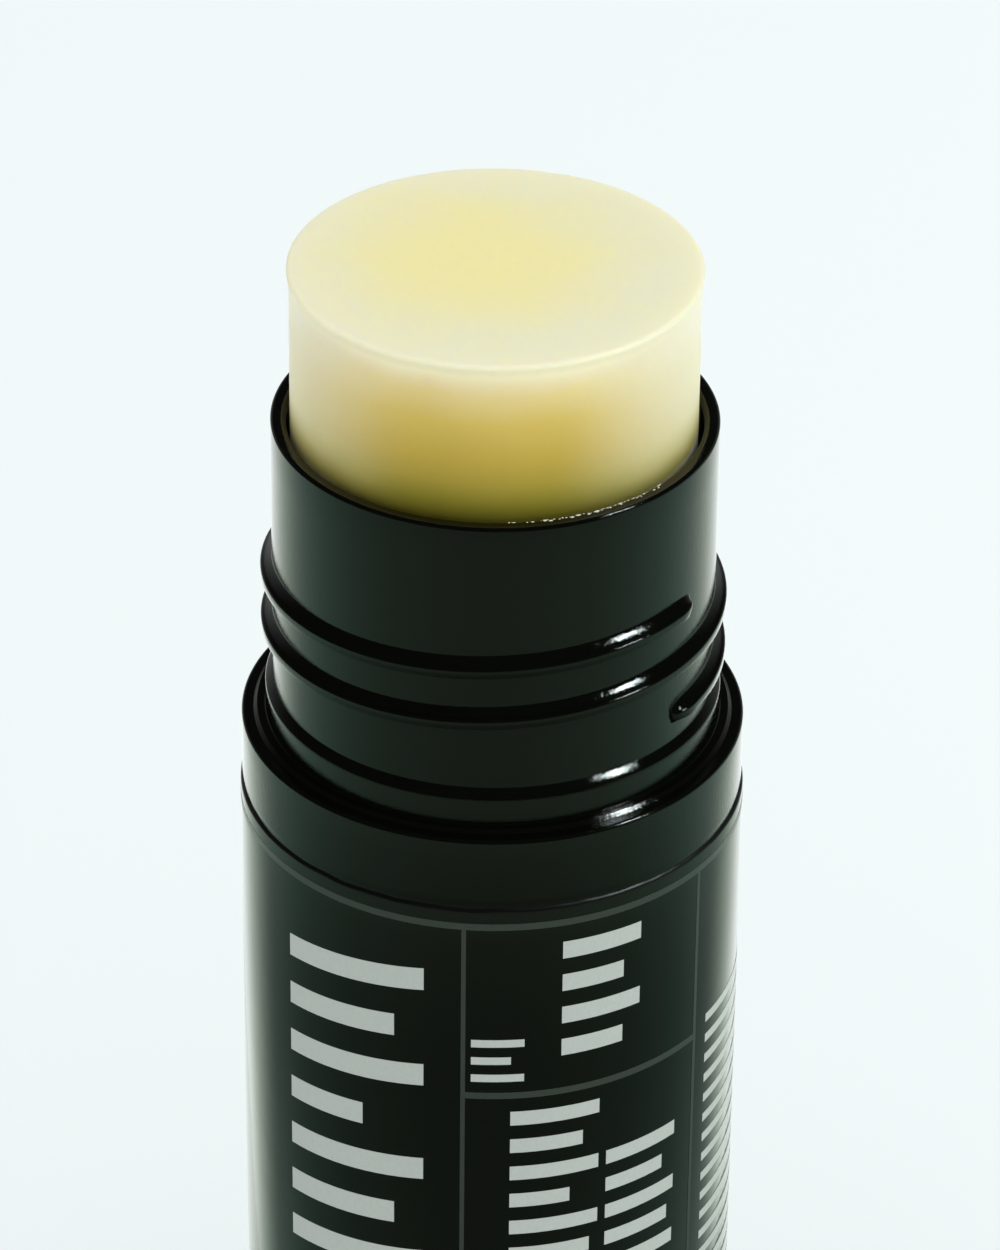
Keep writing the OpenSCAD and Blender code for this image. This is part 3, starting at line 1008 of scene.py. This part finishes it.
# %% [markdown]
# The light is a plain studio: one small bright lamp up to the right, soft light from all round,
# a pale floor that is mirrored in the upright walls, and a dark ceiling that leaves every ledge of
# the thread black.

# %% Lamp
LAMP_DIRECTION = Vector((0.68, -0.18, 0.71)).normalized()
LAMP_DISTANCE = 1.2
LAMP_SIZE = 0.08
LAMP_WATTS = 4.2
LAMP_COLOUR = (0.86, 1.0, 0.98)

lamp = bpy.data.objects.new("key_lamp", bpy.data.lights.new("key_lamp", "AREA"))
lamp.data.shape = "DISK"
lamp.data.size = LAMP_SIZE
lamp.data.energy = LAMP_WATTS
lamp.data.color = LAMP_COLOUR
lamp.location = aim + LAMP_DIRECTION * LAMP_DISTANCE
lamp.rotation_euler = LAMP_DIRECTION.to_track_quat("Z", "Y").to_euler()
bpy.context.scene.collection.objects.link(lamp)
print("lamp of", LAMP_WATTS, "W,", LAMP_DISTANCE, "m away")


# %% [markdown]
# An upright wall mirrors the ring of floor round the stick. On the photographed one its front is
# dark and its sides are pale, so the floor is shaded on the camera's side and brighter close
# behind the stick. It fades out two hands' widths away, but goes on behind the stick and to the
# right of it. Mirrored rays see that shading. The camera sees even pale paper, on which the
# stick's shadow falls.

# %% Floor
FLOOR_HALF = 4.0  # m
PAPER = "f4f6f6"
PAPER_GLOW = 0.02
RING_STOPS = [  # from the camera's side to behind the stick
    (0.01, "6f806f"),
    (0.26, "7c9783"),
    (0.52, "8fb5a3"),
    (0.69, "adcbbc"),
    (0.85, "deeedd"),
    (0.93, "f8fffa"),
    (0.99, "ebf3f1"),
]

floor_mesh = bmesh.new()
bmesh.ops.create_grid(floor_mesh, x_segments=8, y_segments=8, size=FLOOR_HALF)
floor = finished("floor", floor_mesh)
paper, tree, out, mm = new_material("pale_paper")
seen = add(tree, "ShaderNodeLightPath")
away = add(tree, "ShaderNodeVectorMath", {0: mm}, operation="LENGTH")
heading = add(tree, "ShaderNodeVectorMath", {0: mm}, operation="NORMALIZE")
toward = add(tree, "ShaderNodeSeparateXYZ", {"Vector": heading.outputs[0]})
turn = add(tree, "ShaderNodeMapRange", {"Value": toward.outputs["Y"], "From Min": -1.0, "From Max": 1.0})
ring = add(tree, "ShaderNodeValToRGB", {"Fac": turn.outputs[0]}, stops=RING_STOPS)
near = add(
    tree,
    "ShaderNodeMapRange",
    {"Value": away.outputs["Value"], "From Min": 60.0, "From Max": 125.0, "To Min": 0.55, "To Max": 1.2},
    interpolation_type="SMOOTHSTEP",
)
behind = add(
    tree,
    "ShaderNodeMapRange",
    {"Value": turn.outputs[0], "From Min": 0.69, "From Max": 0.92},
    interpolation_type="SMOOTHSTEP",
)
close = add(
    tree,
    "ShaderNodeMapRange",
    {"Value": away.outputs["Value"], "From Min": 60.0, "From Max": 116.0, "To Min": 1.5, "To Max": 0.2},
)
far = add(
    tree,
    "ShaderNodeMapRange",
    {
        "Value": away.outputs["Value"],
        "From Min": 150.0,
        "From Max": 320.0,
        "To Min": 1.0,
        "To Max": 0.02,
    },
    interpolation_type="SMOOTHSTEP",
)
skyline = add(
    tree,
    "ShaderNodeMapRange",
    {"Value": turn.outputs[0], "From Min": 0.72, "From Max": 0.92, "To Max": 0.25},
)
sideward = add(
    tree,
    "ShaderNodeMapRange",
    {"Value": toward.outputs["X"], "From Min": 0.7, "From Max": 0.92, "To Max": 0.9},
)
onward = add(
    tree,
    "ShaderNodeMath",
    {0: sideward.outputs[0], 1: skyline.outputs[0]},
    operation="MAXIMUM",
)
distant = add(tree, "ShaderNodeMath", {0: far.outputs[0], 1: onward.outputs[0]}, operation="MAXIMUM")
lifted = add(
    tree,
    "ShaderNodeMath",
    {0: behind.outputs[0], 1: close.outputs[0], 2: 1.0},
    operation="MULTIPLY_ADD",
)
spread_light = add(
    tree,
    "ShaderNodeMath",
    {0: near.outputs[0], 1: distant.outputs[0]},
    operation="MULTIPLY",
)
level = add(
    tree,
    "ShaderNodeMath",
    {0: spread_light.outputs[0], 1: lifted.outputs[0]},
    operation="MULTIPLY",
)
mirrored = add(
    tree,
    "ShaderNodeEmission",
    {"Color": ring.outputs["Color"], "Strength": level.outputs[0]},
)
lit = add(tree, "ShaderNodeBsdfDiffuse", {"Color": colour(PAPER)})
glow = add(tree, "ShaderNodeEmission", {"Color": colour("f2f8fa"), "Strength": PAPER_GLOW})
seen_floor = add(tree, "ShaderNodeAddShader", {0: lit.outputs[0], 1: glow.outputs[0]})
plain = add(
    tree,
    "ShaderNodeMixShader",
    {"Fac": seen.outputs["Is Camera Ray"], 1: lit.outputs[0], 2: seen_floor.outputs[0]},
)
surface = add(
    tree,
    "ShaderNodeMixShader",
    {"Fac": seen.outputs["Is Glossy Ray"], 1: plain.outputs[0], 2: mirrored.outputs[0]},
)
tree.links.new(surface.outputs[0], out.inputs["Surface"])
floor.data.materials.append(paper)


# %% [markdown]
# The sky shows three faces. The camera sees a pale backdrop and matt surfaces get an even fill.
# Mirrored rays see a dark ceiling, with a glow low down behind the stick, where the paper ends.

# %% Sky
SKY_FILL = 0.88
CEILING = 0.02
HORIZON = 0.32

world = bpy.data.worlds.new("studio")
world.use_nodes = True
bpy.context.scene.world = world
tree = world.node_tree
tree.nodes.clear()
out = add(tree, "ShaderNodeOutputWorld")
seen = add(tree, "ShaderNodeLightPath")
ray = add(tree, "ShaderNodeTexCoord")
ray_parts = add(tree, "ShaderNodeSeparateXYZ", {"Vector": ray.outputs["Generated"]})
rearward = add(
    tree,
    "ShaderNodeMapRange",
    {"Value": ray_parts.outputs["Y"], "From Min": 0.3, "From Max": 0.9, "To Max": HORIZON},
)
lowness = add(
    tree,
    "ShaderNodeMapRange",
    {"Value": ray_parts.outputs["Z"], "From Min": 0.4, "From Max": 0.05},
)
overhead = add(
    tree,
    "ShaderNodeMath",
    {0: rearward.outputs[0], 1: lowness.outputs[0], 2: CEILING},
    operation="MULTIPLY_ADD",
)
mirrored = add(
    tree,
    "ShaderNodeBackground",
    {"Color": colour("f2f9f8"), "Strength": overhead.outputs[0]},
)
fill = add(tree, "ShaderNodeBackground", {"Color": colour("f6f9fa"), "Strength": SKY_FILL})
sky = add(tree, "ShaderNodeBackground", {"Color": colour("f2f8fa"), "Strength": 1.0})
unseen = add(
    tree,
    "ShaderNodeMixShader",
    {"Fac": seen.outputs["Is Glossy Ray"], 1: fill.outputs[0], 2: mirrored.outputs[0]},
)
total = add(
    tree,
    "ShaderNodeMixShader",
    {"Fac": seen.outputs["Is Camera Ray"], 1: unseen.outputs[0], 2: sky.outputs[0]},
)
tree.links.new(total.outputs[0], out.inputs["Surface"])
print("sky fill", SKY_FILL, "ceiling", CEILING)
